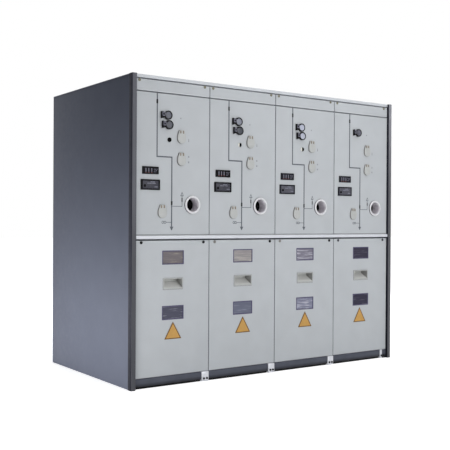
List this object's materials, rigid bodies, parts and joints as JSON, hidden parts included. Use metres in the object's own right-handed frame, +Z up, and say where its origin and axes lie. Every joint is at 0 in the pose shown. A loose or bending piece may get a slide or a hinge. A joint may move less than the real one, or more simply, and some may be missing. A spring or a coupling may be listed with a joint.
{
  "type": "medium-voltage switchgear lineup",
  "caption": "Floor-standing row of medium-voltage switchgear units with bolted front panels, capped operating sockets, viewing ports and lift-off cable covers",
  "frame": {"origin": "on the floor, under the middle of the lineup's box", "axes": "+X along the front to the right as seen from the front, +Y to the back, +Z up"},
  "size_m": [1.73, 0.935, 1.494],
  "materials": {
    "housing_paint": "satin",
    "door_paint": "satin",
    "port_ring": "satin",
    "pull_plastic": "matte",
    "side_paint": "satin",
    "post_paint": "satin",
    "port_glass": "gloss",
    "upper_pane": "gloss",
    "lower_pane": "gloss",
    "cap_plastic": "satin",
    "guard_plastic": "satin",
    "lid_plastic": "gloss",
    "indicator_case": "gloss",
    "display_case": "gloss",
    "eye_plastic": "gloss",
    "marker_face": "satin",
    "top_trim": "satin",
    "middle_trim": "satin",
    "roof_paint": "satin",
    "rear_paint": "satin",
    "kick_paint": "satin",
    "runner_zinc": "satin"
  },
  "bodies": {
    "root": {"left_side_panel": "side_paint", "right_side_panel": "side_paint", "left_corner_post": "post_paint", "right_corner_post": "post_paint", "port_glasses": "port_glass", "upper_windows": "upper_pane", "lower_windows": "lower_pane", "socket_caps": "cap_plastic", "button_guards": "guard_plastic", "button_lids": "lid_plastic", "voltage_indicators": "indicator_case", "fault_displays": "display_case", "spring_indicators": "eye_plastic", "marker_plates": "marker_face", "top_strip": "top_trim", "middle_strip": "middle_trim", "roof_plates": "roof_paint", "rear_plates": "rear_paint", "kick_plates": "kick_paint", "base_runners": "runner_zinc", "rear_kick": "kick_paint", "cabinet_1": "housing_paint", "cabinet_2": "housing_paint", "cabinet_3": "housing_paint", "cabinet_4": "housing_paint", "header_panel_1": "door_paint", "header_panel_2": "door_paint", "header_panel_3": "door_paint", "header_panel_4": "door_paint", "mechanism_panel_1": "door_paint", "mechanism_panel_2": "door_paint", "mechanism_panel_3": "door_paint", "mechanism_panel_4": "door_paint", "cable_cover_1": "door_paint", "cable_cover_2": "door_paint", "cable_cover_3": "door_paint", "cable_cover_4": "door_paint", "viewing_port_1": "port_ring", "viewing_port_2": "port_ring", "viewing_port_3": "port_ring", "viewing_port_4": "port_ring", "pull_handle_1": "pull_plastic", "pull_handle_2": "pull_plastic", "pull_handle_3": "pull_plastic", "pull_handle_4": "pull_plastic"}
  },
  "joints": []
}
